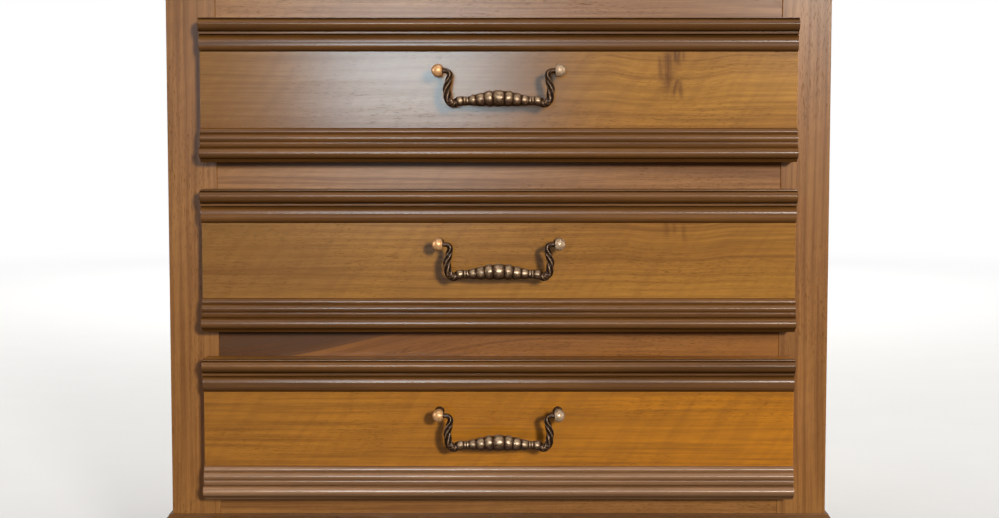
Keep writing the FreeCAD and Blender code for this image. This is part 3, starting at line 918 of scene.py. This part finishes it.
def topBoard():
    look = caseLook
    low, high = corners(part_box("top_board"))
    thick = high.z - low.z
    farIn = 0.1  # the outline closes this far in, and what lies there is left out again
    closed = outline((0, 1), topEdge, thick, look["topRelief"]) + [(thick, farIn), (0, farIn)]
    section = [point for point in easeCorners(closed, look["topEase"]) if point[1] < farIn / 2]
    corner, steps = look["topCorner"], look["cornerSteps"]
    rings = []
    for up, inset in section:
        inset = max(0, inset)
        ring = []
        for number in range(steps + 1):
            turn = math.pi / 2 * number / steps
            x = high.x - inset - corner + corner * math.sin(turn)
            y = low.y + inset + corner - corner * math.cos(turn)
            ring.append(Vector((x, y, low.z + up)))
        ring = [Vector((-point.x, point.y, point.z)) for point in ring[::-1]] + ring
        ring += [Vector((x, high.y, low.z + up)) for x in (high.x - inset, inset - high.x)]
        rings.append(ring)
    mesh = settle(loftShape(rings), "topBoard")
    piece("topBoard", mesh, "carcass", "walnut_front", [finishes["top"]], "top_board")


def mitredRun(prefix, steps):
    low, high = corners(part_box(f"{prefix}_front"))
    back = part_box(f"{prefix}_right")[1][1]
    projection = high.y - low.y
    half = high.x - projection
    section = easeCorners(outline((0, 0), steps, high.z - low.z, projection), caseLook["mouldingEase"])

    def mitre(side):
        return [Vector((side * (half + out), high.y - out, low.z + up)) for up, out in section]

    def backEnd(side):
        return [Vector((side * (half + out), back, low.z + up)) for up, out in section]

    runs = {"front": (mitre(-1), mitre(1)), "left": (mitre(-1), backEnd(-1)), "right": (mitre(1), backEnd(1))}
    for word, rings in runs.items():
        name = pieceName(f"{prefix}_{word}")
        mesh = settle(loftShape(rings), name)
        # painted shade in the recesses and on the undersides
        setLayer(mesh, "hollow", paintedShadeDepths(section, 1) * len(rings))
        finish = finishes["moulding" if word == "front" else "mouldingDeep"]
        piece(name, mesh, "carcass", "walnut_moulding", [finish], f"{prefix}_{word}")


def foot(node):
    low, high = corners(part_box(node))
    side = 1 if low.x > 0 else -1
    inward = 1 if low.y < 0 else -1
    corner = Vector((high.x if side > 0 else low.x, low.y if inward > 0 else high.y, low.z))
    thick = caseLook["footThickness"]
    section = outline((0, 0), footWing, high.x - low.x, high.z - low.z)
    shape = bmesh.new()
    shared = {}

    def vert(across, along, up):  # the two wings share the points of their mitre
        place = corner + Vector((-side * across, inward * along, up))
        key = tuple(round(value, 7) for value in place)
        if key not in shared:
            shared[key] = shape.verts.new(place)
        return shared[key]

    across = [(vert(run, 0, up), vert(max(run, thick), thick, up)) for run, up in section]
    along = [(vert(0, run, up), vert(thick, max(run, thick), up)) for run, up in section]
    for wing in (across, along):
        outer, inner = zip(*wing)
        shape.faces.new(outer)
        shape.faces.new(inner[::-1])
        for index in range(len(section) - 1):
            shape.faces.new((outer[index], outer[index + 1], inner[index + 1], inner[index]))
    bmesh.ops.recalc_face_normals(shape, faces=shape.faces)
    arrises = [edge for edge in shape.edges if edge.calc_face_angle(0) > arrisTurn]
    easeEdges(shape, arrises, caseLook["footEase"], 2)
    name = pieceName(node)
    piece(name, settle(shape, name), "carcass", "walnut_moulding", [finishes["moulding"]], node)


topBoard()
mitredRun("cornice", corniceEdge)
mitredRun("base_moulding", baseEdge)
for node in ("foot_front_left", "foot_front_right", "foot_back_left", "foot_back_right"):
    foot(node)
print("top, mouldings and feet made")


# Boards that keep their CAD shape

boardEase = dict(carcass=0.5 * mm, inside=0.25 * mm, screw=0.12 * mm)
carcassBoards = dict(rail_top="rail", rail_upper="rail", rail_bottom="rail", rail_lower="railLower",
                     stile_left="stile", stile_right="stile", side_left="side", side_right="side")
insideBoards = dict(back_panel="plyBack", back_rail="beechWide", bottom_board="plyBottom",
                    kickers="beechDeep")
drawerBoards = dict(runners="beechDeep", box_front="beechWide", box_back="beechWide",
                    box_side_left="beechDeep", box_side_right="beechDeep", box_bottom="plyBottom")
for node, finish in carcassBoards.items():
    dress(node, finishes[finish], boardEase["carcass"])
for node, finish in insideBoards.items():
    dress(node, finishes[finish], boardEase["inside"])
for drawer in drawers:
    for part, finish in drawerBoards.items():
        dress(f"{drawer}_{part}", finishes[finish], boardEase["inside"])
    dress(f"{drawer}_pull_screws", finishes["zinc"], boardEase["screw"])
print("boards finished")


# Floor, backdrop and surroundings

white = (1, 1, 1, 1)
stageLook = dict(floor=(226, 224, 220), floorSpecks=(220, 218, 214), bounce=(98, 96, 92), floorReach=9,
                 nearWhite=0.3, whiteFrom=0.7, whiteTo=4.3, wallRadius=4.6, wallHeight=3.4,
                 wallHalfTurn=math.radians(86), wallSteps=48, ambient=0.10, surround=0.85)


def stagePiece(name, shape, material):
    mesh = settle(shape, name)
    mesh.materials.append(material)
    made = placed(name, mesh)


def seenRays(finish):  # 1 for camera, glossy and transmission rays
    kinds = ("Camera", "Glossy", "Transmission")
    camera, glossy, through = (finish.node("ShaderNodeLightPath", output=f"Is {kind} Ray") for kind in kinds)
    return camera + glossy + through


def stageFinish(name, whiteness):  # whiteness from the point, and a darker bounce under the chest
    finish = Finish(name)
    point = finish.place()
    floor, specks, bounce = tones(stageLook, "floor", "floorSpecks", "bounce")
    colour = finish.blend(finish.noise(point, 9, 5.0), floor, specks)
    pale = finish.node("ShaderNodeBsdfDiffuse", {}, {"Color": colour})
    glow = finish.node("ShaderNodeEmission", {}, {"Color": white, "Strength": 1.0})
    plain = finish.node("ShaderNodeBsdfDiffuse", {}, {"Color": bounce})
    seen = finish.node("ShaderNodeMixShader", {}, {0: whiteness(finish, point), 1: pale, 2: glow})
    return finish.shown(finish.node("ShaderNodeMixShader", {}, {0: seenRays(finish), 1: plain, 2: seen}))


def floorWhiteness(finish, point):
    x, y = finish.axis(point, "x"), finish.axis(point, "y")
    away = ((x * x + y * y) ** 0.5).rise(stageLook["whiteFrom"], stageLook["whiteTo"])
    return away * (1 - stageLook["nearWhite"]) + stageLook["nearWhite"]


ground = bmesh.new()
bmesh.ops.create_grid(ground, x_segments=2, y_segments=2, size=stageLook["floorReach"])
stagePiece("floor", ground, stageFinish("floorFinish", floorWhiteness))
wall = bmesh.new()
wallSteps, wallRadius = stageLook["wallSteps"], stageLook["wallRadius"]
columns = []
for number in range(wallSteps + 1):
    angle = stageLook["wallHalfTurn"] * (2 * number / wallSteps - 1)
    x, y = wallRadius * math.sin(angle), wallRadius * math.cos(angle)
    columns.append([wall.verts.new((x, y, z)) for z in (0.0, stageLook["wallHeight"])])
for column, following in zip(columns, columns[1:]):
    wall.faces.new((column[0], following[0], following[1], column[1]))
stagePiece("backdrop", wall, stageFinish("wallFinish", lambda finish, point: 1.0))

world = bpy.data.worlds.new("studio")
world.use_nodes = True
studio = Finish("studio", world.node_tree)
levels = (stageLook["ambient"], stageLook["surround"], 1.0)
ambient, surround, clear = (studio.node("ShaderNodeBackground", {}, {"Color": white, "Strength": level})
                            for level in levels)
seen = studio.node("ShaderNodeMixShader", {}, {0: seenRays(studio), 1: ambient, 2: surround})
onCamera = studio.node("ShaderNodeLightPath", output="Is Camera Ray")
seen = studio.node("ShaderNodeMixShader", {}, {0: onCamera, 1: seen, 2: clear})
studio.shown(seen, "ShaderNodeOutputWorld")
bpy.context.scene.world = world


# Lamps and camera

lampAim = (0.0, -0.18, 0.31)
windowAim = (-0.078, -0.184, 0.441)
lampLooks = {  # degrees right of the front and up, distance and size in metres, and share of the light
    "key": dict(azimuth=17.0, elevation=12.0, distance=4.3, size=(0.46, 0.46), share=0.85,
                colour=(1.0, 0.97, 0.92)),
    "window": dict(azimuth=-2.8, elevation=2.0, distance=2.07, size=(0.34, 0.25), share=0.40,
                   colour=(0.66, 0.88, 1.0), aim=windowAim, onlyGloss=True),
    "windowTop": dict(azimuth=-2.8, elevation=18.0, distance=2.15, size=(0.44, 0.95), share=0.44,
                      colour=(0.92, 0.95, 1.0), aim=windowAim, onlyGloss=True),
    "overhead": dict(azimuth=0.0, elevation=82.0, distance=2.3, size=(2.2, 2.2), share=0.50,
                     colour=(1.0, 1.0, 1.0)),
    "leftFill": dict(azimuth=-86.0, elevation=12.0, distance=3.2, size=(1.6, 1.6), share=0.56,
                     colour=(0.97, 0.98, 1.0)),
    "rightFill": dict(azimuth=88.0, elevation=12.0, distance=3.2, size=(1.6, 1.6), share=0.46,
                      colour=(1.0, 0.99, 0.97)),
    "backFill": dict(azimuth=180.0, elevation=16.0, distance=3.6, size=(2.0, 1.6), share=0.70,
                     colour=(1.0, 1.0, 1.0), onlyDiffuse=True),
}
for name, look in lampLooks.items():
    lamp = bpy.data.lights.new(name, "AREA")
    lamp.shape = "RECTANGLE"
    lamp.size, lamp.size_y = look["size"]
    lamp.energy = look["share"] * (math.pi * look["distance"]) ** 2
    lamp.color = look["colour"]
    azimuth, elevation = math.radians(look["azimuth"]), math.radians(look["elevation"])
    towards = Vector((math.sin(azimuth) * math.cos(elevation), -math.cos(azimuth) * math.cos(elevation),
                      math.sin(elevation)))
    holder = placed(name, lamp)
    holder.location = Vector(look.get("aim", lampAim)) + towards * look["distance"]
    holder.rotation_euler = towards.to_track_quat("Z", "Y").to_euler()
    holder.visible_camera = False
    holder.visible_diffuse = "onlyGloss" not in look
    holder.visible_glossy = "onlyDiffuse" not in look

cameraLook = dict(place=(0.0006, -1.63365, 0.4108), tiltDown=4.42, lens=64.79, sensor=36.0, clip=(0.02, 60.0))
lens = bpy.data.cameras.new("camera")
lens.lens = cameraLook["lens"]
lens.sensor_width = cameraLook["sensor"]
lens.clip_start, lens.clip_end = cameraLook["clip"]
camera = placed("camera", lens)
camera.location = cameraLook["place"]
camera.rotation_euler = (math.radians(90 - cameraLook["tiltDown"]), 0, 0)
bpy.context.scene.camera = camera
bpy.context.scene.view_settings.view_transform = "Standard"
print("stage, lamps and camera placed")
